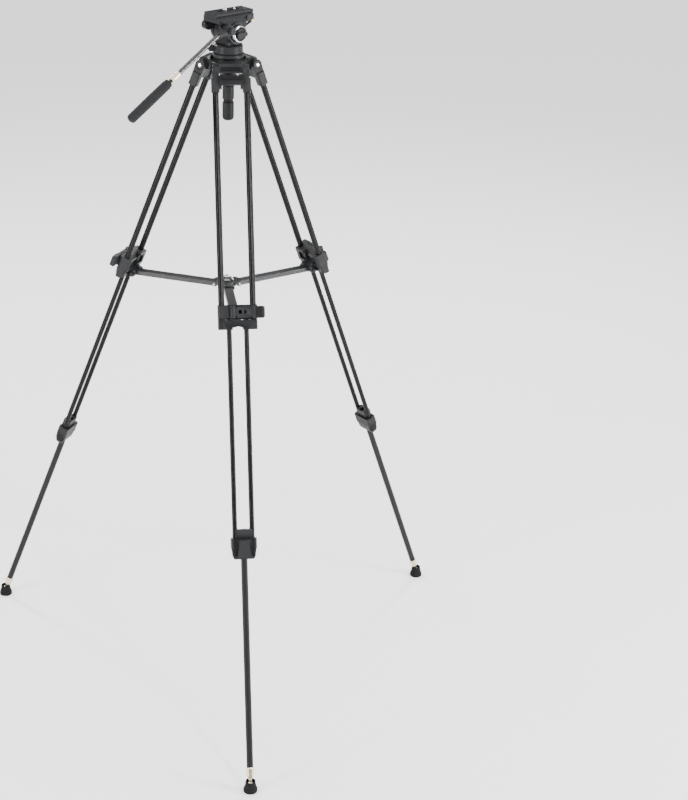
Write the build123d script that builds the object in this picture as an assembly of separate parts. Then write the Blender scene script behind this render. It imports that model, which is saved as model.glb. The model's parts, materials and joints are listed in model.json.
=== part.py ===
from build123d import *
import os
from math import cos, radians, sin, tan

# Three-stage video tripod with a mid-level spreader, a 75 mm bowl and a fluid head.
# Millimetres and degrees, +Z up, the feet on z = 0, the origin at the middle of the footprint.
# Each leg is drawn hanging straight down from its hinge: X away from the tripod axis,
# Y along the hinge bolt, Z up the leg. The head is drawn with X forwards and Y to its left.

# Leg stance
hinge_radius = 59.0
hinge_height = 1712.0
leg_open_angle = 21.6
foot_ball_height = 18.0
leg_azimuths = {"leg_a": -90.0, "leg_b": 30.0, "leg_c": 150.0}

# Leg tubes
upper_tube_radius = 8.0
upper_tube_offset = 40.0
upper_tube_end = 655.0
middle_tube_radius = 6.5
middle_tube_offset = 22.0
lower_tube_radius = 8.5
lower_tube_top = 1165.0
lower_tube_end = 1785.0
tube_wall = 1.1

# Leg castings
knuckle_half = 30.0
ear_gap = 0.3
ear_radius = 13.0
yoke_half = 50.0
yoke_end = 58.0
bolt_radius = 5.0
head_radius = 9.0
clamp_top = 594.0
clamp_bottom = 631.6
clamp_half = 50.0
bracket_top = 632.0
bracket_bottom = 657.0
lower_clamp_top = 1187.0
lower_clamp_bottom = 1241.0

# Spreader
arm_pin_inset = 24.0
arm_pin_drop = 640.0
arm_half_width = 12.0
arm_end_radius = 6.0
hub_pin_radius = 30.0
hub_pin_height = 1114.4

# Feet
ball_radius = 9.0
cup_radius = 18.0

# Bowl and pan
bowl_centre = 1726.0
bowl_radius = 37.5
bowl_outer = 44.0
pan_base_bottom = 1730.0
pan_split = 1742.0
pan_top = 1765.0
pan_base_radius = 41.0
pan_radius = 37.0
pan_lock_azimuth = 145.0
head_yaw = 35.0

# Tilt and plate
tilt_height = 1797.0
tilt_drum_radius = 28.0
tilt_drum_half = 25.0
cheek_inner = 27.0
cheek_outer = 33.0
disc_outer = 36.0
platform_half_length = 59.0
platform_bottom = 1826.0
platform_top = 1842.0
plate_top = 1850.0
rosette_x = -40.0
rosette_height = 1812.0
rosette_radius = 13.0
quarter_screw_radius = 3.175
three_eighths_screw_radius = 4.76

# Handle
socket_droop = 15.6
grip_droop = 31.5
handle_offset = -50.0
bend_distance = 45.0
tube_length = 160.0
collar_length = 28.0
neck_length = 8.0
grip_length = 144.0
handle_tube_radius = 6.0
handle_rod_radius = 5.0
running_gap = 0.05
face_gap = 0.3

leg_length = (hinge_height - foot_ball_height) / cos(radians(leg_open_angle))
foot_radius = hinge_radius + leg_length * sin(radians(leg_open_angle))
axis_y = foot_radius / 4


def block(x0, x1, y0, y1, z0, z1):
    """A box from its lowest to its highest corner."""
    middle = Pos((x0 + x1) / 2, (y0 + y1) / 2, (z0 + z1) / 2)
    return middle * Box(x1 - x0, y1 - y0, z1 - z0)


def rod_x(radius, x0, x1, y=0, z=0):
    return Pos((x0 + x1) / 2, y, z) * Rot(0, 90, 0) * Cylinder(radius, x1 - x0)


def rod_y(radius, y0, y1, x=0, z=0):
    return Pos(x, (y0 + y1) / 2, z) * Rot(90, 0, 0) * Cylinder(radius, y1 - y0)


def rod_z(radius, z0, z1, x=0, y=0):
    return Pos(x, y, (z0 + z1) / 2) * Cylinder(radius, z1 - z0)


def tube_z(radius, wall, z0, z1, y=0):
    return rod_z(radius, z0, z1, y=y) - rod_z(radius - wall, z0 - 1, z1 + 1, y=y)


def turned(*points):
    """A solid of revolution about Z from the (radius, height) corners of its half section."""
    return revolve(Plane.XZ * make_face(Polyline(*points, close=True)), Axis.Z)


def slab_y(points, y0, y1):
    """A plate between two Y planes, from its (x, z) outline."""
    return Pos(0, y1, 0) * extrude(Plane.XZ * make_face(Polyline(*points, close=True)), y1 - y0)


def softened(shape, radius, axis=None):
    """The shape with its edges along one axis, or all of them, rounded."""
    edges = shape.edges() if axis is None else shape.edges().filter_by(axis)
    return fillet(edges, radius)


def rounded_block(x0, x1, y0, y1, z0, z1, radius, axis=Axis.Z):
    return softened(block(x0, x1, y0, y1, z0, z1), radius, axis)


def mirrored_y(shape):
    return mirror(shape, about=Plane.XZ)


# Leg pieces, hanging from the hinge at the origin


def make_yoke():
    inner = knuckle_half + ear_gap
    side = rod_y(ear_radius, inner, 46)
    side += slab_y([(-ear_radius, 0), (ear_radius, 0), (11.5, -34), (11, -yoke_end), (-11, -yoke_end),
                    (-11.5, -34)], inner, 46)
    side = chamfer(side.faces().sort_by(Axis.Y)[-1].edges(), 1.2)
    side += rounded_block(-11.5, 11.5, inner, yoke_half, -yoke_end, -22, 4)
    body = side + mirrored_y(side)
    crossbar = slab_y([(-8, -16), (11, -16), (14, -22), (14, -30), (11, -40), (-8, -40)], -inner - 1, inner + 1)
    body += crossbar
    for y in (-inner, inner):
        gusset = slab_y([(-8, -38), (11, -38), (11, -50), (-8, -50)], min(y, y * 0.8), max(y, y * 0.8))
        body += gusset
    body -= slab_y([(12.4, -24), (20, -24), (20, -28), (12.4, -28)], -24, 24)
    body -= rod_y(bolt_radius + running_gap, -60, 60)
    for y0, y1 in ((42, 60), (-60, -42)):
        body -= rod_y(head_radius + 0.4, y0, y1)
    for y in (-upper_tube_offset, upper_tube_offset):
        body -= rod_z(upper_tube_radius, -yoke_end - 1, -38, y=y)
    return body


def make_upper_tubes():
    pair = [tube_z(upper_tube_radius, tube_wall, -upper_tube_end, -38, y=y)
            for y in (-upper_tube_offset, upper_tube_offset)]
    return Compound(pair)


def make_spreader_bracket():
    half = clamp_half
    slot = arm_half_width + 1
    side = rounded_block(-12, 12, slot, half, -bracket_bottom, -bracket_top, 5)
    side -= slab_y([(-13, -650), (13, -664), (13, -670), (-13, -670)], 0, 60)
    lug = block(-arm_pin_inset, -6, slot, 26, -648, -bracket_top)
    lug += rod_y(8, slot, 26, x=-arm_pin_inset, z=-arm_pin_drop)
    lug += rod_y(5, 26, 29.5, x=-arm_pin_inset, z=-arm_pin_drop)
    side += lug
    body = side + mirrored_y(side)
    face = make_face(Polyline((-44, -633), (44, -633), (36, -655), (24, -655), (0, -649), (-24, -655),
                              (-36, -655), close=True))
    body += Pos(11, 0, 0) * extrude(Plane.YZ * face, 6)
    for y in (-upper_tube_offset, upper_tube_offset):
        body -= rod_z(upper_tube_radius, -upper_tube_end, -bracket_top + 1, y=y)
    for y in (-middle_tube_offset, middle_tube_offset):
        body -= rod_z(middle_tube_radius + 0.1, -bracket_bottom - 1, -bracket_top + 1, y=y)
    return body


lever_pivot_y = -14.0
lever_pivot_x = 25.0


def make_mid_clamp():
    body = rounded_block(-16, 16, -clamp_half, clamp_half, -clamp_bottom, -clamp_top, 6)
    body += rounded_block(12, 21, -clamp_half + 3, lever_pivot_y - 9, -628, -597, 3, Axis.X)
    body += rounded_block(12, 19, 14, 46, -628, -597, 3, Axis.X)
    lug = rod_z(8, -628, -622.5, x=lever_pivot_x, y=lever_pivot_y)
    lug += block(10, lever_pivot_x, lever_pivot_y - 8, lever_pivot_y + 8, -628, -622.5)
    body += lug
    body += Pos(0, 0, 25.5) * lug
    body += rod_z(2.5, -628, -597, x=lever_pivot_x, y=lever_pivot_y)
    for y in (-upper_tube_offset, upper_tube_offset):
        body -= rod_z(upper_tube_radius + 0.08, -clamp_bottom - 1, -clamp_top + 1, y=y)
    for y in (-middle_tube_offset, middle_tube_offset):
        body -= rod_z(middle_tube_radius, -clamp_bottom - 1, -600, y=y)
    body -= rounded_block(-20, -11, -34, 34, -624, -600, 3, Axis.X)
    body -= block(-20, -2.5, -arm_half_width - 1.5, arm_half_width + 1.5, -clamp_bottom - 1, -clamp_top + 1)
    return body


def make_lock_lever():
    z0, z1 = -622.0, -603.0
    body = rod_z(7.5, z0, z1, x=lever_pivot_x, y=lever_pivot_y)
    body += rounded_block(22, 30, lever_pivot_y, 40, z0, z1, 2.5, Axis.Z)
    body += rounded_block(22, 30.5, -4, 42, z0 - 6, z1 + 4, 3, Axis.X)
    body += rounded_block(21, 31.5, 34, 67, z0 - 7, z1 + 5, 6, Axis.X)
    for y0, y1 in ((0, 9), (15, 20)):
        body -= rounded_block(18, 36, y0, y1, z0 + 5, z1 - 5, 1.2, Axis.X)
    for index in range(5):
        body -= rod_z(0.9, z0 - 2, z1, x=31.9, y=44 + 4 * index)
    body -= rod_z(2.5 + running_gap, z0 - 1, z1 + 1, x=lever_pivot_x, y=lever_pivot_y)
    return body


def make_middle_tubes():
    pair = [tube_z(middle_tube_radius, tube_wall, -1200, -600, y=y)
            for y in (-middle_tube_offset, middle_tube_offset)]
    return Compound(pair)


def make_lower_clamp():
    body = rounded_block(-15, 15, -33, 33, -1214, -lower_clamp_top, 6)
    body += extrude(Pos(0, 0, -1213) * RectangleRounded(29.5, 64, 8), amount=-20, taper=7)
    body += extrude(Pos(0, 0, -1233) * RectangleRounded(24.6, 59.1, 5.5), amount=-8, taper=28)
    face = make_face(Polyline((-12, -1192), (12, -1192), (18, -1234), (-18, -1234), close=True))
    body += Pos(8, 0, 0) * extrude(Plane.YZ * face, 9.5)
    body += rounded_block(-10, 12.5, -22, 22, -lower_clamp_top - 1, -1165, 5)
    body -= rod_z(lower_tube_radius + 0.08, -1250, -1150)
    for y in (-middle_tube_offset, middle_tube_offset):
        body -= rod_z(middle_tube_radius, -1200, -1150, y=y)
    return body


def make_lower_tube():
    return tube_z(lower_tube_radius, tube_wall, -lower_tube_end, -lower_tube_top)


def make_foot_sleeve():
    seat = lower_tube_end
    body = turned((0, -leg_length), (4.6, -leg_length), (4.6, -1803), (9, -1799), (10, -1797),
                  (10, -1778), (9.4, -1776), (8.5, -1776), (8.5, -seat), (0, -seat))
    body += Pos(0, 0, -leg_length) * Sphere(ball_radius)
    return body


def make_foot_cup():
    body = turned((0, -18), (17, -18), (cup_radius, -16.5), (cup_radius, -9), (16.4, -6), (13.2, 6),
                  (12.6, 13), (0, 13))
    body -= Sphere(ball_radius + running_gap)
    body -= turned((0, 3), (8.3, 3), (11.6, 14), (0, 14))
    level = Pos(0, 0, -leg_length) * Rot(0, leg_open_angle, 0)
    return level * body


# Spreader pieces, drawn in the upright plane of one leg: X away from the tripod axis


def arm_outer_pin():
    """The arm's outer pin, (radius, height), on the open leg's bracket."""
    lean = radians(leg_open_angle)
    radius = hinge_radius + arm_pin_drop * sin(lean) - arm_pin_inset * cos(lean)
    height = hinge_height - arm_pin_drop * cos(lean) - arm_pin_inset * sin(lean)
    return radius, height


def make_spreader_arm():
    outer_radius, outer_height = arm_outer_pin()
    span = Vector(outer_radius - hub_pin_radius, 0, outer_height - hub_pin_height)
    length = span.length
    droop = Vector(1, 0, 0).get_signed_angle(span, Vector(0, 1, 0))
    half = arm_half_width
    body = block(0, length, -half, half, -arm_end_radius, arm_end_radius)
    for x in (0, length):
        body += rod_y(arm_end_radius, -half, half, x=x)
    body -= block(-9, length + 9, -half + 1.8, half - 1.8, -9, arm_end_radius - 1.8)
    body += rod_y(2.8, -half, half, x=length)
    body -= rod_y(3 + running_gap, -half - 1, half + 1)
    return Pos(hub_pin_radius, 0, hub_pin_height) * Rot(0, droop, 0) * body


def make_spreader_hub():
    body = extrude(Pos(0, 0, 6.6) * RegularPolygon(66, 3, rotation=30), amount=3)
    body &= rod_z(41, 0, 20)
    for azimuth in leg_azimuths.values():
        side = slab_y([(22, 8), (37, 8), (37, -2), (34, -6), (26, -6), (22, -2)], 12.4, 15.4)
        pair = side + mirrored_y(side)
        pair += rod_y(3, -17.5, 17.5, x=hub_pin_radius)
        body += Rot(0, 0, azimuth) * pair
    body += rod_z(8, 9, 13)
    hoop = Pos(0, 0, 11) * Edge.make_circle(15, Plane.XZ, start_angle=0, end_angle=180)
    body += sweep(Pos(15, 0, 11) * Circle(2.6), path=hoop)
    for x in (-15, 15):
        body += rod_z(2.6, 9, 11, x=x)
    return Pos(0, 0, hub_pin_height) * body


# Crown, bowl and levelling pieces


def make_crown():
    ring = turned((0, 1700), (40, 1700), (47, 1706), (47, 1720), (45, 1722), (0, 1722))
    dish = Pos(0, 0, bowl_centre) * Sphere(bowl_outer)
    dish -= block(-60, 60, -60, 60, 1718, 1800)
    body = ring + dish
    lug_half = knuckle_half
    for azimuth in leg_azimuths.values():
        arm = slab_y([(36, 1700), (56, 1700), (69, 1705), (69.4, 1722), (67, 1728), (47, 1731), (36, 1722)],
                     -lug_half, lug_half)
        arm -= block(69.2, 80, -lug_half, lug_half, 1700, 1740)
        arm -= rounded_block(68, 80, -lug_half + 5, lug_half - 5, 1709, 1721, 2, Axis.X)
        body += Rot(0, 0, azimuth) * arm
    body -= Pos(0, 0, bowl_centre) * Sphere(bowl_radius)
    body -= rod_z(37.3, 1716, 1740)
    body -= rod_z(46.9, 1722, 1740)
    body -= rod_z(16, 1670, 1700)
    for azimuth in leg_azimuths.values():
        bore = rod_y(bolt_radius, -40, 40, x=hinge_radius, z=hinge_height)
        body -= Rot(0, 0, azimuth) * bore
    return body


def make_apex_bolts():
    bolt = rod_y(bolt_radius, -42.2, 42.2)
    for side in (-1, 1):
        head = rod_y(head_radius, min(side * 42.2, side * 46), max(side * 42.2, side * 46))
        socket = extrude(Pos(0, side * 46.5, 0) * Plane.XZ * RegularPolygon(4.5, 6), amount=2.5 * side)
        bolt += head
        bolt -= socket
    bolt = Pos(hinge_radius, 0, hinge_height) * bolt
    return Compound([Rot(0, 0, azimuth) * bolt for azimuth in leg_azimuths.values()])


def make_half_ball():
    body = Pos(0, 0, bowl_centre) * Sphere(bowl_radius - 0.1)
    body &= rod_z(37.2, 1694, 1728)
    body += rod_z(36, 1727, pan_base_bottom)
    body -= rod_z(bolt_radius, 1690, 1720)
    return body


def make_bowl_stud():
    return rod_z(bolt_radius, 1590, 1720)


def make_bowl_grip():
    body = turned((0, 1567), (11, 1567), (14, 1570), (15, 1576), (15, 1612), (12.8, 1615), (12.8, 1620),
                  (15, 1623), (15, 1655), (12, 1662), (12, 1670), (22, 1673), (22, 1692), (0, 1692))
    body -= Pos(0, 0, bowl_centre) * Sphere(bowl_outer + 0.1)
    body -= rod_z(bolt_radius + running_gap, 1589, 1700)
    return body


# Fluid head pieces, X forwards


def make_pan_base():
    return turned((0, pan_base_bottom), (36, pan_base_bottom), (40, 1732), (pan_base_radius, 1734),
                  (pan_base_radius, 1740), (39.5, pan_split), (9, pan_split), (9, 1760), (0, 1760))


def make_pan_housing():
    body = turned((0, pan_split + face_gap), (35.5, pan_split + face_gap), (pan_radius, 1744),
                  (pan_radius, 1761), (34, pan_top), (0, pan_top))
    body += rounded_block(-25, 25, -tilt_drum_half, tilt_drum_half, 1762, tilt_height, 3)
    body += rod_y(tilt_drum_radius, -tilt_drum_half, tilt_drum_half, z=tilt_height)
    boss = rod_x(8.5, 30, 41, z=1753)
    screw_hole = rod_x(4 + running_gap, 29, 50, z=1753)
    body += Rot(0, 0, pan_lock_azimuth) * boss
    body -= Rot(0, 0, pan_lock_azimuth) * screw_hole
    body -= rod_z(9 + running_gap, 1740, 1761)
    body -= rod_y(8 + running_gap, -40, 40, z=tilt_height)
    return body


def make_pan_lock_lever():
    body = rod_x(4, 30, 44, z=1753)
    body += rod_x(8, 41.5, 50, z=1753)
    wing = rounded_block(44, 52, -22, 8, 1748.5, 1757.5, 3.5, Axis.X)
    body += wing
    return Rot(0, 0, pan_lock_azimuth) * body


def make_tilt_cradle():
    low = tilt_height
    outline = [(-55, low + 30), (-56, low + 22), (-46, low + 10), (-36, low + 6.4), (-20, low + 4),
               (20, low + 9.4), (32, low + 14.8), (56, low + 26), (57, low + 30)]
    cheek = slab_y(outline, cheek_inner, cheek_outer)
    cheek += rod_y(28.5, cheek_inner, disc_outer, z=low)
    window = slab_y([(33, low + 19.5), (46, low + 25.5), (31, low + 25.5)], cheek_inner - 1, 40)
    cheek -= softened(window, 1.2, Axis.Y)
    cheek += rod_y(rosette_radius, cheek_inner + 2, 44, x=rosette_x, z=rosette_height)
    cheek -= rod_y(4 + running_gap, 34, 50, x=rosette_x, z=rosette_height)
    body = cheek + mirrored_y(cheek)
    deck = rounded_block(-platform_half_length, platform_half_length, -cheek_outer, cheek_outer,
                         platform_bottom, platform_top, 7)
    deck = chamfer(deck.faces().sort_by(Axis.Z)[-1].edges(), 2.5)
    body += deck
    groove = Plane.YZ * make_face(Polyline((-25.2, 1836), (25.2, 1836), (23.2, 1842.1), (-23.2, 1842.1),
                                           close=True))
    body -= Pos(-70, 0, 0) * extrude(groove, 140)
    body -= rod_y(8, -50, 50, z=low)
    body -= rod_y(4 + running_gap, 27, 50, x=28, z=1832)
    body -= rod_y(4.6, -50, -26.5, x=34, z=1833)
    return body


def make_tilt_shaft():
    return rod_y(8, -40, 40, z=tilt_height)


def wing_knob(radius):
    """A round knob with a finger bar, its axis along Y and its foot at y = 0."""
    body = rod_y(radius, 0, 9)
    body = chamfer(body.edges().filter_by(GeomType.CIRCLE).sort_by(Axis.Y)[-1], 1.5)
    body += rod_y(radius * 0.72, 9, 12)
    bar = rounded_block(-radius * 0.8, radius * 0.8, 9, 20, -5, 5, 4, Axis.Y)
    body += bar
    for index in range(10):
        body -= Rot(0, 36 * index, 0) * rod_y(1.6, -1, 10, x=radius + 0.4)
    return body


def make_tilt_drag_knob():
    body = wing_knob(24) - rod_y(8 + running_gap, -1, 4)
    return Pos(0, disc_outer + face_gap, tilt_height) * Rot(0, 35, 0) * body


def make_tilt_lock_knob():
    body = wing_knob(20) - rod_y(8 + running_gap, -1, 4)
    return Pos(0, -disc_outer - face_gap, tilt_height) * Rot(0, 0, 180) * body


def make_quick_release_plate():
    section = [(-25, 1836.15), (25, 1836.15), (23, 1842), (25, 1842.6), (25, 1848.5), (23.8, plate_top),
               (-23.8, plate_top), (-25, 1848.5), (-25, 1842.6), (-23, 1842)]
    profile = Plane.YZ * make_face(Polyline(*section, close=True))
    body = Pos(-60, 0, 0) * extrude(profile, 120)
    body &= rounded_block(-60, 60, -40, 40, 1830, 1860, 6)
    body -= rounded_block(-44, 38, -9.5, 9.5, 1830, 1841.6, 9, Axis.Z)
    body -= rounded_block(-40, 34, -5.2, 5.2, 1830, 1860, 5, Axis.Z)
    body -= rod_z(2.1 + running_gap, 1838.5, 1860, x=50)
    for side in (-1, 1):
        y0, y1 = sorted((side * 7.5, side * 21.5))
        body -= rounded_block(-54, 40, y0, y1, 1848.4, 1860, 3)
    return body


def make_plate_pads():
    pads = []
    for side in (-1, 1):
        y0, y1 = sorted((side * 7.5, side * 21.5))
        pad = rounded_block(-54, 40, y0, y1, 1848.4, plate_top + 0.4, 3)
        for index in range(6):
            y = side * (9.4 + 2.04 * index)
            pad -= block(-60, 60, y - 0.4, y + 0.4, plate_top, plate_top + 1)
        pads.append(pad)
    return Compound(pads)


def camera_screw(radius, x, tip):
    thread = rod_z(radius, plate_top + 0.5, tip, x=x)
    body = chamfer(thread.faces().sort_by(Axis.Z)[-1].edges(), 0.5)
    body += rod_z(radius * 0.76, 1840, plate_top + 1, x=x)
    body += rod_z(7.8, 1837, 1841.2, x=x)
    body -= block(x - 8, x + 8, -0.8, 0.8, 1836, 1838.5)
    return body


def make_video_pin():
    return rod_z(2.1, 1843, 1853, x=50)


def make_plate_lock_knob():
    body = rod_y(4, 28, 37, x=28, z=1832)
    body += rod_y(6, cheek_outer + face_gap, 38, x=28, z=1832)
    knob = rod_y(8.5, 38, 50, x=28, z=1832)
    for index in range(10):
        knob -= Pos(28, 0, 1832) * Rot(0, 36 * index, 0) * rod_y(1.2, 37, 51, x=8.8)
    return body + knob


def make_release_button():
    return rod_y(4.5, -37, -29.3, x=34, z=1833)


def make_bubble_level():
    return rod_y(5.5, cheek_outer, 36.4, x=-20, z=1834)


# Handle pieces, along the two straight runs of the bent tube


def along(droop):
    return Vector(-cos(radians(droop)), 0, -sin(radians(droop)))


handle_root = Vector(rosette_x, handle_offset, rosette_height)
handle_bend = handle_root + along(socket_droop) * bend_distance


def on_grip_line(distance, shape):
    """A piece drawn along +Z from 0, laid on the straight lower run of the handle."""
    place = Plane(origin=handle_bend + along(grip_droop) * distance, x_dir=(0, 1, 0), z_dir=along(grip_droop))
    return place.location * shape


def make_handle_clamp():
    body = rod_y(rosette_radius, -55.5, -44 - face_gap, x=rosette_x, z=rosette_height)
    place = Plane(origin=handle_root, x_dir=(0, 1, 0), z_dir=along(socket_droop)).location
    body += place * block(-5.5, 5.5, -8, 8, 0, 17)
    body += place * rod_z(8.5, 15, 38)
    body -= place * rod_z(handle_tube_radius, 18, 40)
    body -= rod_y(4 + running_gap, -60, -40, x=rosette_x, z=rosette_height)
    return body


def make_handle_thumb_screw():
    body = rod_y(4, -60, -35, x=rosette_x, z=rosette_height)
    knob = rod_y(8.5, -67.5, -55.8, x=rosette_x, z=rosette_height)
    for index in range(12):
        groove = Pos(rosette_x, 0, rosette_height) * Rot(0, 30 * index, 0) * rod_y(1, -68, -58, x=8.7)
        knob -= groove
    return body + knob


def make_handle_tube():
    start = handle_root + along(socket_droop) * 18
    end = handle_bend + along(grip_droop) * tube_length
    path = FilletPolyline(start, handle_bend, end, radius=110)
    mouth = Plane(origin=start, x_dir=(0, 1, 0), z_dir=along(socket_droop))
    outer = sweep(mouth * Circle(handle_tube_radius), path=path)
    inner = sweep(mouth * Circle(handle_rod_radius + running_gap), path=path)
    return outer - inner


def make_handle_collar():
    length = collar_length
    body = turned((handle_tube_radius + running_gap, 0), (8, 0), (8.75, 1), (8.75, 9), (8, 10), (8, 12),
                  (8.75, 13), (8.75, length - 6), (7, length), (handle_rod_radius + running_gap, length),
                  (handle_rod_radius + running_gap, 20.1), (handle_tube_radius + running_gap, 20.1))
    return on_grip_line(tube_length - 20, body)


def make_handle_rod():
    start = tube_length - 110
    end = tube_length - 20 + collar_length + neck_length + grip_length - 6
    return on_grip_line(0, rod_z(handle_rod_radius, start, end))


def make_handle_grip():
    length = grip_length
    body = turned((0, 0), (9, 0), (11.5, 2), (12.5, 8), (12.5, length - 8), (11.5, length - 2),
                  (9, length), (0, length))
    body -= rod_z(handle_rod_radius, -1, length - 6)
    return on_grip_line(tube_length - 20 + collar_length + neck_length, body)


# Assembly

leg_pieces = {
    "yoke": make_yoke(),
    "upper_tubes": make_upper_tubes(),
    "spreader_bracket": make_spreader_bracket(),
    "mid_clamp": make_mid_clamp(),
    "lock_lever": make_lock_lever(),
    "middle_tubes": make_middle_tubes(),
    "lower_clamp": make_lower_clamp(),
    "lower_tube": make_lower_tube(),
    "foot_sleeve": make_foot_sleeve(),
    "foot_cup": make_foot_cup(),
}
tripod_axis = Pos(0, axis_y, 0)
hinge_place = Pos(hinge_radius, 0, hinge_height) * Rot(0, -leg_open_angle, 0)

nodes = {}
for leg, azimuth in leg_azimuths.items():
    upright_plane = tripod_axis * Rot(0, 0, azimuth)
    for name, piece in leg_pieces.items():
        nodes[f"{leg}_{name}"] = upright_plane * hinge_place * piece
    nodes[f"{leg}_spreader_arm"] = upright_plane * make_spreader_arm()

crown_pieces = {
    "spreader_hub": make_spreader_hub(),
    "crown": make_crown(),
    "apex_bolts": make_apex_bolts(),
    "half_ball": make_half_ball(),
    "bowl_stud": make_bowl_stud(),
    "bowl_grip": make_bowl_grip(),
}
for name, piece in crown_pieces.items():
    nodes[name] = tripod_axis * piece

head_pieces = {
    "pan_base": make_pan_base(),
    "pan_housing": make_pan_housing(),
    "pan_lock_lever": make_pan_lock_lever(),
    "tilt_cradle": make_tilt_cradle(),
    "tilt_shaft": make_tilt_shaft(),
    "tilt_drag_knob": make_tilt_drag_knob(),
    "tilt_lock_knob": make_tilt_lock_knob(),
    "quick_release_plate": make_quick_release_plate(),
    "plate_pads": make_plate_pads(),
    "camera_screw_quarter": camera_screw(quarter_screw_radius, 18, 1855.5),
    "camera_screw_three_eighths": camera_screw(three_eighths_screw_radius, -14, 1856.5),
    "video_pin": make_video_pin(),
    "plate_lock_knob": make_plate_lock_knob(),
    "release_button": make_release_button(),
    "bubble_level": make_bubble_level(),
    "handle_clamp": make_handle_clamp(),
    "handle_thumb_screw": make_handle_thumb_screw(),
    "handle_tube": make_handle_tube(),
    "handle_collar": make_handle_collar(),
    "handle_rod": make_handle_rod(),
    "handle_grip": make_handle_grip(),
}
for name, piece in head_pieces.items():
    nodes[name] = tripod_axis * Rot(0, 0, head_yaw) * piece

os.makedirs("parts", exist_ok=True)
for name, piece in nodes.items():
    export_step(piece, f"parts/{name}.step")
print(len(nodes), "nodes written")
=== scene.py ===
import json
import math

import bmesh
import bpy
from mathutils import Matrix, Vector


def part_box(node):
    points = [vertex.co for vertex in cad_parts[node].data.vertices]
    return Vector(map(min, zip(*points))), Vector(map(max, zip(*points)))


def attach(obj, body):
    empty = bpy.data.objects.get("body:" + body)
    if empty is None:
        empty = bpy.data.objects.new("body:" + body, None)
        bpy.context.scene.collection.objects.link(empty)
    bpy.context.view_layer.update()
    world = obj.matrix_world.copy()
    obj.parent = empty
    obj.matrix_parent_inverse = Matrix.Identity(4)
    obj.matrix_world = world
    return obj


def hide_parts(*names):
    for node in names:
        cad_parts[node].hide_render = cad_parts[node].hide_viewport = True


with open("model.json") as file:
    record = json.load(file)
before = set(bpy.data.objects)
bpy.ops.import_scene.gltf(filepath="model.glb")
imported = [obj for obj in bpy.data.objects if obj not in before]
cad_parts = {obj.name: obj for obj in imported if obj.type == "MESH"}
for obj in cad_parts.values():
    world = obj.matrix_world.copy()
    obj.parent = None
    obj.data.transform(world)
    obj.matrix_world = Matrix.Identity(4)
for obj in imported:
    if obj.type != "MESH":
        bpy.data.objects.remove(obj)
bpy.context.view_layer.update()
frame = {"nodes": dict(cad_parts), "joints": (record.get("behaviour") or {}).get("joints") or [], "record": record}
nodes = frame["nodes"]
joints = {joint["name"]: joint for joint in frame["joints"]}

# Camera: a long lens, above and in front of the tripod, which stands left of the frame's middle
camera_distance = 5.2
camera_target_height = 0.9
camera_elevation = 22.207
camera_azimuth = -5.35
aim_turn = -3.851
aim_drop = 1.18
camera_roll = 1.896
camera_lens = 85.76

MM = 0.001

# From a hinge's middle to the face at either end, in metres
bolt_head_face = 0.0458
arm_rivet_face = 0.0175

# The pan axis, the tilt axis, and the head's own left and forward directions
LEGS = ("leg_a", "leg_b", "leg_c")
AXIS = Vector(joints["pan"]["pos_m"])
TILT = Vector(joints["tilt"]["pos_m"])
LEFT = Vector(joints["tilt"]["axis"]).normalized()
FORWARD = LEFT.cross(Vector((0, 0, 1))).normalized()


def view_axes(azimuth, elevation):
    """The camera's right, up and back directions for a level camera."""
    az, el = math.radians(azimuth), math.radians(elevation)
    back = Vector((math.sin(az) * math.cos(el), -math.cos(az) * math.cos(el), math.sin(el)))
    right = Vector((math.cos(az), math.sin(az), 0))
    return right, back.cross(right), back


def make_camera():
    back = view_axes(camera_azimuth, camera_elevation)[2]
    target = Vector((AXIS.x, AXIS.y, camera_target_height))
    right, up, aim = view_axes(camera_azimuth + aim_turn, camera_elevation + aim_drop)
    roll = math.radians(camera_roll)
    rolled_right = right * math.cos(roll) + up * math.sin(roll)
    rolled_up = up * math.cos(roll) - right * math.sin(roll)
    data = bpy.data.cameras.new("camera")
    data.lens = camera_lens
    data.sensor_width = 36
    data.clip_end = 100
    camera = bpy.data.objects.new("camera", data)
    bpy.context.scene.collection.objects.link(camera)
    turn = Matrix((rolled_right, rolled_up, aim)).transposed().to_4x4()
    camera.matrix_world = Matrix.Translation(target + back * camera_distance) @ turn
    bpy.context.scene.camera = camera


# Materials


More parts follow.
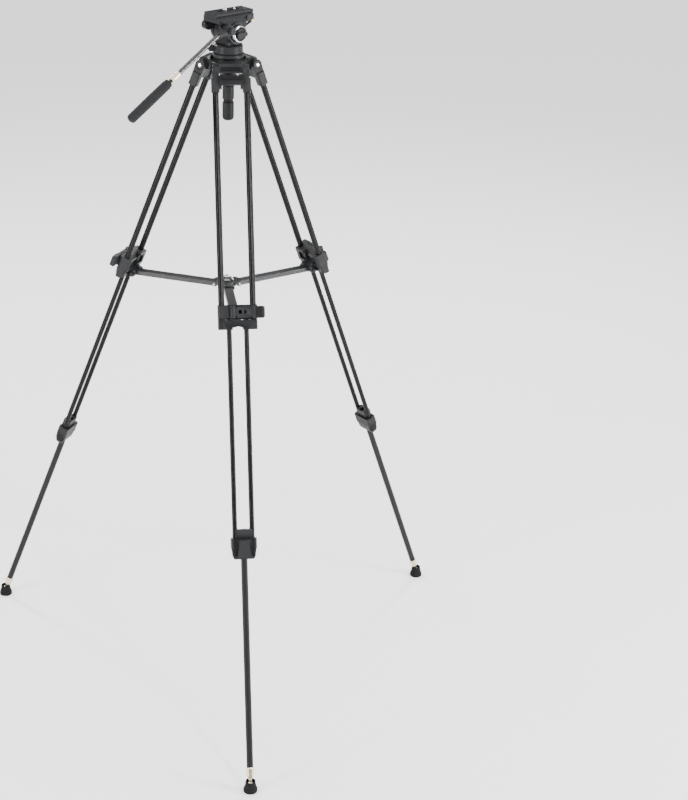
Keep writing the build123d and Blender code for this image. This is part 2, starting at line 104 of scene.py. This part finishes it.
class Shader:
    """A material's node tree with short calls for what the finishes share."""

    def __init__(self, name, color, roughness, metallic=0.0, **sockets):
        self.material = bpy.data.materials.new(name)
        self.material.use_nodes = True
        self.tree = self.material.node_tree
        self.bsdf = self.tree.nodes["Principled BSDF"]
        self.set(self.bsdf, "Base Color", (*color, 1))
        self.set(self.bsdf, "Roughness", roughness)
        self.set(self.bsdf, "Metallic", metallic)
        for socket, value in sockets.items():
            self.set(self.bsdf, socket.replace("_", " "), value)
        self.normal = None
        self.coords = self.tree.nodes.new("ShaderNodeTexCoord").outputs["Object"]

    def set(self, node, socket, value):
        node.inputs[socket].default_value = value

    def link(self, output, node, socket):
        self.tree.links.new(output, node.inputs[socket])

    def noise(self, scale, detail, coords=None):
        node = self.tree.nodes.new("ShaderNodeTexNoise")
        self.set(node, "Scale", scale)
        self.set(node, "Detail", detail)
        self.link(self.coords if coords is None else coords, node, "Vector")
        return node.outputs["Fac"]

    def mapped(self, coords=None, rotation=(0, 0, 0), scale=(1, 1, 1)):
        """Texture coordinates, turned and scaled."""
        node = self.tree.nodes.new("ShaderNodeMapping")
        self.set(node, "Rotation", rotation)
        self.set(node, "Scale", scale)
        self.link(self.coords if coords is None else coords, node, "Vector")
        return node.outputs["Vector"]

    def cells(self, scale):
        node = self.tree.nodes.new("ShaderNodeTexVoronoi")
        self.set(node, "Scale", scale)
        self.link(self.coords, node, "Vector")
        return node.outputs["Distance"]

    def edges(self):
        """1 on sharp outer edges, 0 on flat faces and in hollows."""
        barely_convex, sharp = 0.505, 0.56
        node = self.tree.nodes.new("ShaderNodeNewGeometry")
        return self.ramp(node.outputs["Pointiness"], barely_convex, sharp, 0, 1)

    def ramp(self, output, low, high, to_low, to_high):
        node = self.tree.nodes.new("ShaderNodeMapRange")
        self.set(node, "From Min", low)
        self.set(node, "From Max", high)
        self.set(node, "To Min", to_low)
        self.set(node, "To Max", to_high)
        self.link(output, node, "Value")
        return node.outputs["Result"]

    def larger(self, a, b):
        node = self.tree.nodes.new("ShaderNodeMath")
        node.operation = "MAXIMUM"
        self.tree.links.new(a, node.inputs[0])
        self.tree.links.new(b, node.inputs[1])
        return node.outputs[0]

    def mix(self, factor, a, b):
        node = self.tree.nodes.new("ShaderNodeMix")
        node.data_type = "RGBA"
        self.tree.links.new(factor, node.inputs["Factor"])
        for socket, value in (("A", a), ("B", b)):
            target = [i for i in node.inputs if i.name == socket and i.type == "RGBA"][0]
            if isinstance(value, tuple):
                target.default_value = (*value, 1)
            else:
                self.tree.links.new(value, target)
        return [o for o in node.outputs if o.type == "RGBA"][0]

    def color(self, output):
        self.link(output, self.bsdf, "Base Color")

    def roughness(self, output):
        self.link(output, self.bsdf, "Roughness")

    def vary_roughness(self, output, low, high):
        """Spreads the middle values of a noise over a range of roughness."""
        self.roughness(self.ramp(output, 0.3, 0.7, low, high))

    def bump(self, output, distance):
        """Adds a bump on top of the ones before it."""
        node = self.tree.nodes.new("ShaderNodeBump")
        self.set(node, "Distance", distance)
        self.link(output, node, "Height")
        if self.normal:
            self.link(self.normal, node, "Normal")
        self.normal = node.outputs["Normal"]
        self.link(self.normal, self.bsdf, "Normal")


def tinted(color, factor, lift=0.0):
    """A color made lighter or darker by a factor, with a little grey added."""
    return tuple(c * factor + lift for c in color)


def coated_metal(name, color, roughness):
    """Powder coat: a fine orange peel and a wide, faint mottle."""
    peel = 0.00004
    s = Shader(name, color, roughness, Specular_IOR_Level=0.13)
    s.color(s.mix(s.noise(9, 5), color, tinted(color, 1.4, 0.003)))
    s.vary_roughness(s.noise(160, 4), roughness - 0.05, roughness + 0.07)
    s.bump(s.noise(1900, 2), peel)
    return s.material


def gloss_metal(name, color):
    """Polished black anodising with a faint drawn grain."""
    s = Shader(name, color, 0.16, Specular_IOR_Level=0.75)
    s.color(s.mix(s.noise(14, 4), color, tinted(color, 1.5)))
    s.vary_roughness(s.noise(220, 3), 0.12, 0.2)
    return s.material


def satin_sheet(name, color):
    """Folded sheet with an even satin coat and a very fine grain."""
    grain = 0.00001
    s = Shader(name, color, 0.3, Specular_IOR_Level=0.32)
    s.color(s.mix(s.noise(12, 4), color, tinted(color, 1.4)))
    s.vary_roughness(s.noise(180, 3), 0.27, 0.35)
    s.bump(s.noise(2400, 2), grain)
    return s.material


def moulded(name, color, roughness):
    """Glass-filled nylon: a fine spark texture with greyer rubbed edges."""
    grain = 0.00006
    s = Shader(name, color, roughness, Specular_IOR_Level=0.09)
    base = s.mix(s.noise(24, 6), color, tinted(color, 1.3))
    s.color(s.mix(s.edges(), base, tinted(color, 2.0, 0.008)))
    s.vary_roughness(s.noise(420, 3), roughness - 0.07, roughness + 0.08)
    s.bump(s.cells(1500), grain)
    s.bump(s.noise(2600, 2), grain * 0.5)
    return s.material


def bare_metal(name, color, roughness):
    """Turned or anodised metal: fine lathe lines, stacked along the piece's Z."""
    line_depth = 0.00001
    s = Shader(name, color, roughness, metallic=1.0)
    lines = s.noise(60, 3, s.mapped(scale=(1, 1, 90)))
    s.color(s.mix(lines, tinted(color, 0.86), color))
    s.vary_roughness(lines, roughness - 0.06, roughness + 0.09)
    s.bump(lines, line_depth)
    return s.material


def rubber(name, color, roughness=0.72):
    """Matt rubber: a fine rough skin with a little dust."""
    skin = 0.00008
    s = Shader(name, color, roughness, Specular_IOR_Level=0.08)
    dust = s.noise(35, 6)
    s.color(s.mix(dust, color, tinted(color, 1.5, 0.004)))
    s.vary_roughness(s.noise(300, 3), roughness - 0.06, roughness + 0.08)
    s.bump(s.noise(1200, 4), skin)
    return s.material


def foam(name, color):
    """Foam: small cells in a soft matt skin, with painted shade darkening the colour in each cell's hollow."""
    cell_depth, skin = 0.0002, 0.0001
    s = Shader(name, color, 0.85, Specular_IOR_Level=0.1, Sheen_Weight=0.05)
    cell = s.cells(1300)
    # Painted shade: the colour darkens towards each cell's middle, where the bump below makes a hollow.
    s.color(s.mix(s.ramp(cell, 0.1, 0.6, 0, 1), tinted(color, 0.55), color))
    s.bump(cell, cell_depth)
    s.bump(s.noise(500, 4), skin)
    return s.material


def hub_finish():
    """The hub plate satin black, its wire pull loop bright."""
    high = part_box("spreader_hub")[1]
    loop_height, blend = 0.016, 0.0005
    s = Shader("hub", (0.012, 0.0125, 0.0135), 0.3, Specular_IOR_Level=0.3)
    split = s.tree.nodes.new("ShaderNodeSeparateXYZ")
    s.link(s.coords, split, "Vector")
    loop_foot = high.z - loop_height
    loop = s.ramp(split.outputs["Z"], loop_foot - blend, loop_foot + blend, 0, 1)
    plate = s.mix(s.noise(24, 6), (0.011, 0.0115, 0.0125), (0.017, 0.0175, 0.019))
    s.color(s.mix(loop, plate, (0.62, 0.62, 0.61)))
    s.link(loop, s.bsdf, "Metallic")
    s.vary_roughness(s.noise(160, 4), 0.22, 0.34)
    s.bump(s.noise(1900, 2), 0.00003)
    return s.material


def leg_turn(leg):
    """Euler angles of the mapping that lays a leg's tube direction along the texture's Z."""
    direction = Vector(joints[f"{leg}_lower_slide"]["axis"])
    return direction.rotation_difference(Vector((0, 0, 1))).to_euler()


def hatched_tube(name, color, turn):
    """A coated tube whose coat has a fine crossed hatch along it."""
    spacing = 0.0024
    slant = 40
    unit_spacing = 0.314  # of the wave texture's bands at a scale of 1
    relief = 0.00005
    s = Shader(name, color, 0.36, Specular_IOR_Level=0.14)
    along = s.mapped(rotation=turn)
    hatches = []
    for sign in (-1, 1):
        node = s.tree.nodes.new("ShaderNodeTexWave")
        node.wave_type = "BANDS"
        node.bands_direction = "Z"
        s.set(node, "Scale", unit_spacing / spacing)
        slanted = s.mapped(along, rotation=(0, math.radians(slant * sign), 0))
        s.link(slanted, node, "Vector")
        hatches.append(node.outputs["Fac"])
    weave = s.larger(*hatches)
    s.color(s.mix(weave, tinted(color, 0.6), tinted(color, 1.8)))
    s.roughness(s.ramp(weave, 0, 1, 0.3, 0.44))
    s.bump(weave, relief)
    return s.material


FINISH = {
    "tube": coated_metal("tube", (0.0032, 0.0032, 0.0036), 0.24),
    "casting": moulded("casting", (0.0062, 0.0064, 0.007), 0.38),
    "head_metal": moulded("head_metal", (0.0056, 0.0058, 0.0064), 0.34),
    "steel": bare_metal("steel", (0.72, 0.72, 0.73), 0.25),
    "black_bolt": coated_metal("black_bolt", (0.006, 0.006, 0.0065), 0.3),
    "sleeve": bare_metal("sleeve", (0.78, 0.69, 0.5), 0.3),
    "rubber": rubber("rubber", (0.006, 0.006, 0.0065)),
    "handle_tube": gloss_metal("handle_tube", (0.006, 0.006, 0.0065)),
    "arm": satin_sheet("arm", (0.013, 0.0135, 0.0145)),
    "thumb_screw": moulded("thumb_screw", (0.0085, 0.0088, 0.0095), 0.44),
    "foam": foam("foam", (0.018, 0.0185, 0.02)),
    "brass": bare_metal("brass", (0.72, 0.56, 0.28), 0.3),
    "pad": rubber("pad", (0.012, 0.012, 0.013), 0.6),
    "vial": Shader("vial", (0.03, 0.036, 0.01), 0.12, Specular_IOR_Level=0.3).material,
    "chrome": bare_metal("chrome", (0.5, 0.5, 0.49), 0.2),
    "scale_paint": coated_metal("scale_paint", (0.09, 0.09, 0.09), 0.5),
}


def finish_cad_nodes():
    slots = {part["node"]: part["material_slot"] for part in frame["record"]["subparts"]}
    for name, node in nodes.items():
        node.data.materials.clear()
        node.data.materials.append(FINISH[slots[name]])
    nodes["spreader_hub"].data.materials[0] = hub_finish()
    nodes["handle_thumb_screw"].data.materials[0] = FINISH["thumb_screw"]
    nodes["handle_tube"].data.materials[0] = FINISH["handle_tube"]
    for leg in LEGS:
        nodes[f"{leg}_spreader_arm"].data.materials[0] = FINISH["arm"]
        lower = nodes[f"{leg}_lower_tube"].data.materials
        lower[0] = hatched_tube(f"{leg}_hatched", (0.008, 0.008, 0.0085), leg_turn(leg))


# Detail pieces


def head_point(forward, left, height):
    """A point given from the tripod axis, in metres, with its height above the floor."""
    return Vector((AXIS.x, AXIS.y, height)) + FORWARD * forward + LEFT * left


def link_mesh(name, mesh, slot, body, finish=None, smooth=True):
    for face in mesh.polygons:
        face.use_smooth = smooth
    piece = bpy.data.objects.new(name, mesh)
    bpy.context.scene.collection.objects.link(piece)
    mesh.materials.append(FINISH[finish or slot])
    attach(piece, body)
    return piece


def axis_frame(origin, axis):
    """A matrix that puts a shape's Z along an axis through an origin."""
    turn = Vector(axis).normalized().to_track_quat("Z", "Y").to_matrix().to_4x4()
    return Matrix.Translation(Vector(origin)) @ turn


def round_point(radius, angle, height):
    """A point in metres, from a radius and a height in millimetres and an angle."""
    return (radius * MM * math.cos(angle), radius * MM * math.sin(angle), height * MM)


def finished_mesh(name, shape, place):
    """A shape put in its place, as a mesh with its normals outwards."""
    bmesh.ops.recalc_face_normals(shape, faces=shape.faces)
    shape.transform(place)
    mesh = bpy.data.meshes.new(name)
    shape.to_mesh(mesh)
    shape.free()
    return mesh


def lathe_mesh(name, profile, place, segments):
    """A turned mesh from (radius, height) points in millimetres; ends at radius 0 are closed."""
    shape = bmesh.new()
    rings = []
    for radius, height in profile:
        if radius == 0:
            rings.append([shape.verts.new((0, 0, height * MM))])
            continue
        rings.append([shape.verts.new(round_point(radius, 2 * math.pi * index / segments, height))
                      for index in range(segments)])
    for lower, upper in zip(rings, rings[1:]):
        for index in range(segments):
            after = (index + 1) % segments
            corners = [lower[index % len(lower)], lower[after % len(lower)],
                       upper[after % len(upper)], upper[index % len(upper)]]
            face = list(dict.fromkeys(corners))
            if len(face) > 2:
                shape.faces.new(face)
    return finished_mesh(name, shape, place)


def sharpen(piece, angle=35):
    """Keeps edges sharper than an angle crisp under smooth shading."""
    piece.data.set_sharp_from_angle(angle=math.radians(angle))
    return piece


def lathe(name, profile, origin, axis, slot, body, finish=None, segments=64):
    mesh = lathe_mesh(name, profile, axis_frame(origin, axis), segments)
    return sharpen(link_mesh(name, mesh, slot, body, finish))


def socket_screw(name, radius, height, origin, axis, slot, body, finish=None):
    """A cap screw head: a bevelled disc with a hexagonal recess."""
    segments = 48
    sector = math.pi / 3  # of one side of the hexagon
    recess = radius * 0.52
    crisp_angle = 25
    shape = bmesh.new()
    rings = []
    for ring_radius, level in ((radius, 0), (radius, height * 0.75), (radius * 0.9, height)):
        rings.append([shape.verts.new(round_point(ring_radius, 2 * math.pi * index / segments, level))
                      for index in range(segments)])
    for level in (height, height * 0.4):
        ring = []
        for index in range(segments):
            angle = 2 * math.pi * index / segments
            reach = math.cos(sector / 2) / math.cos(angle % sector - sector / 2)
            ring.append(shape.verts.new(round_point(recess * reach, angle, level)))
        rings.append(ring)
    for lower, upper in zip(rings, rings[1:]):
        for index in range(segments):
            after = (index + 1) % segments
            shape.faces.new((lower[index], lower[after], upper[after], upper[index]))
    shape.faces.new(rings[-1])
    shape.faces.new(list(reversed(rings[0])))
    mesh = finished_mesh(name, shape, axis_frame(origin, axis))
    return sharpen(link_mesh(name, mesh, slot, body, finish), crisp_angle)


def make_lock_ring():
    """The bright ring round the tilt lock knob."""
    proud = 0.0016
    centre = Vector(joints["tilt_lock_turn"]["pos_m"])
    face = (centre - TILT).dot(-LEFT)
    profile = [(20.4, -8.5), (21.8, -8.5), (22.0, -7.5), (22.0, -1.2), (21.4, 0.2), (20.0, 0.9),
               (18.4, 0.9), (17.8, 0.4), (17.8, -0.4), (20.2, -1.4), (20.4, -8.5)]
    lathe("tilt_lock_ring", profile, TILT - LEFT * (face + proud), -LEFT, "steel",
          "lock_knob", "chrome", 96)


def make_brass_screws():
    """The bolt level with the handle's hinge, and a screw in each cheek of the cradle."""
    bolt_face = 0.044
    screw_forward, screw_face, screw_rise = 0.0505, 0.033, 0.0262
    hinge = Vector(joints["handle_angle"]["pos_m"])
    middle = hinge - LEFT * (hinge - TILT).dot(LEFT)
    socket_screw("rosette_bolt", 5.2, 4.0, middle + LEFT * bolt_face, LEFT, "brass", "cradle")
    for side, name in ((1, "left"), (-1, "right")):
        place = head_point(screw_forward, side * screw_face, TILT.z + screw_rise)
        socket_screw(f"cheek_screw_{name}", 3.6, 2.2, place, LEFT * side, "brass", "cradle")


def make_bolt_centres():
    """Bright socket screws set in the black heads of the three hinge bolts."""
    for leg in LEGS:
        hinge = joints[f"{leg}_fold"]
        pivot, along = Vector(hinge["pos_m"]), Vector(hinge["axis"]).normalized()
        for side, end in ((1, "near"), (-1, "far")):
            head_face = pivot + along * side * bolt_head_face
            socket_screw(f"{leg}_bolt_centre_{end}", 3.9, 1.0, head_face, along * side, "steel",
                         "crown_body", "chrome")


def make_arm_rivets():
    """Domed steel ends on the pins at the inner ends of the spreader arms."""
    for leg in LEGS:
        hinge = joints[f"{leg}_arm_fold"]
        pivot, along = Vector(hinge["pos_m"]), Vector(hinge["axis"]).normalized()
        for side, end in ((1, "near"), (-1, "far")):
            dome = [(2.9, 0), (1.6, 0.7), (0, 0.9)]
            lathe(f"{leg}_arm_rivet_{end}", dome, pivot + along * side * arm_rivet_face,
                  along * side, "steel", "hub", "chrome", 32)


def make_scale_ticks():
    """Pale degree marks round the pan base, one every 5 degrees and a longer one every 30."""
    thickness, width = 0.0003, 0.0005
    short, long = 0.0022, 0.0038
    base_rise = 0.0052
    low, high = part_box("pan_base")
    radius = (high.x - low.x) / 2
    base = low.z + base_rise
    shape = bmesh.new()
    for degrees in range(0, 360, 5):
        length = short if degrees % 30 else long
        place = Matrix.Translation((AXIS.x, AXIS.y, 0)) @ Matrix.Rotation(math.radians(degrees), 4, "Z")
        size = Matrix.Diagonal((thickness, width, length, 1))
        centre = Matrix.Translation((radius, 0, base + length / 2))
        bmesh.ops.create_cube(shape, size=1, matrix=place @ centre @ size)
    mesh = bpy.data.meshes.new("pan_scale")
    shape.to_mesh(mesh)
    shape.free()
    link_mesh("pan_scale", mesh, "steel", "ball_body", "scale_paint", smooth=False)


def make_foam_grip():
    """The foam sleeve of the pan handle, a little crowned, with a rolled collar end and a domed tip."""
    half = 72.0
    radius, crown = 12.2, 0.3
    collar_end, collar_steps = 9, 12
    tip_length, tip_flat, tip_steps = 8, 3.4, 8
    axis = -Vector(joints["handle_extend"]["axis"])
    low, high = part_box("handle_grip")
    profile = [(5.1, -half), (9.6, -half), (10.8, -half + 0.8), (11.3, -half + 2.5), (10.9, -half + 5),
               (11.2, -half + 6.5), (radius, -half + collar_end)]
    for step in range(1, collar_steps):
        t = step / collar_steps
        profile.append((radius + crown * math.sin(math.pi * t),
                        -half + collar_end + 2 * (half - collar_end) * t))
    for step in range(tip_steps + 1):
        angle = math.radians(90 * step / tip_steps)
        profile.append((tip_flat + (radius - tip_flat) * math.cos(angle),
                        half - tip_length + tip_length * math.sin(angle)))
    profile.append((0, half - 0.2))
    grip = lathe("foam_grip", profile, (low + high) / 2, axis, "foam", "grip", segments=96)
    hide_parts("handle_grip")


def make_camera_screws():
    """Camera screws: a round head, a thin neck and ridges for the thread, in millimetres."""
    head_top, neck_top, thread_start, tip = 4.2, 13.4, 13.6, 0.5
    for size, pitch, radius in (("quarter", 1.27, 3.175), ("three_eighths", 1.5875, 4.76)):
        node, body = f"camera_screw_{size}", f"screw_{size}"
        low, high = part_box(node)
        base = Vector(joints[f"{size}_screw_turn"]["pos_m"])
        base.z = low.z
        tall = (high.z - low.z) / MM
        neck, root = radius * 0.76, radius * 0.82
        profile = [(0, 0.5), (7.4, 0.5), (7.8, 0.9), (7.8, 3.6), (7.3, head_top), (neck, head_top),
                   (neck, neck_top)]
        level = thread_start
        while level + pitch < tall - tip:
            profile += [(root, level), (radius, level + pitch * 0.4), (radius, level + pitch * 0.6)]
            level += pitch
        profile += [(radius * 0.8, tall - 0.3), (radius * 0.7, tall), (0, tall)]
        screw = lathe(f"{body}_thread", profile, base, (0, 0, 1), "steel", body, segments=48)
        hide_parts(node)


# Studio


def area_light(name, place, target, size, power):
    """A rectangular light aimed at a target, which the camera doesn't see."""
    data = bpy.data.lights.new(name, "AREA")
    data.shape = "RECTANGLE"
    data.size, data.size_y = size
    data.energy = power
    light = bpy.data.objects.new(name, data)
    bpy.context.scene.collection.objects.link(light)
    light.location = place
    light.visible_camera = False
    aim = Vector(target) - Vector(place)
    light.rotation_euler = aim.to_track_quat("-Z", "Y").to_euler()


def make_studio():
    """A pale floor under a soft sky, with two tall strips, a front light and two rim lights."""
    floor_half = 30.0
    world_strength = 0.22
    sky_strength, sky_angle = 4.6, 110
    target = (0, AXIS.y, 1.1)
    lights = (("strip_left", (-3.4, -1.9, 1.7), (0.22, 3.2), 170),
              ("strip_right", (3.6, -1.6, 1.7), (0.22, 3.2), 230),
              ("front_right", (1.9, -4.4, 3.4), (0.4, 1.0), 150),
              ("rim_right", (1.9, 3.6, 3.6), (0.5, 2.0), 120),
              ("rim_left", (-2.2, 3.4, 3.4), (0.5, 2.0), 120))
    mesh = bpy.data.meshes.new("floor")
    corners = [(x * floor_half, y * floor_half, 0) for x, y in ((-1, -1), (1, -1), (1, 1), (-1, 1))]
    mesh.from_pydata(corners, [], [(0, 1, 2, 3)])
    floor = bpy.data.objects.new("floor", mesh)
    bpy.context.scene.collection.objects.link(floor)
    mesh.materials.append(Shader("floor", (0.93, 0.93, 0.93), 0.9).material)
    world = bpy.data.worlds.new("studio")
    world.use_nodes = True
    background = world.node_tree.nodes["Background"]
    background.inputs["Color"].default_value = (1, 1, 1, 1)
    background.inputs["Strength"].default_value = world_strength
    bpy.context.scene.world = world
    overhead = bpy.data.lights.new("overhead", "SUN")
    overhead.energy = sky_strength
    overhead.angle = math.radians(sky_angle)
    bpy.context.scene.collection.objects.link(bpy.data.objects.new("overhead", overhead))
    for name, place, size, power in lights:
        area_light(name, place, target, size, power)


make_camera()
finish_cad_nodes()
make_lock_ring()
make_brass_screws()
make_bolt_centres()
make_arm_rivets()
make_scale_ticks()
make_foam_grip()
make_camera_screws()
make_studio()
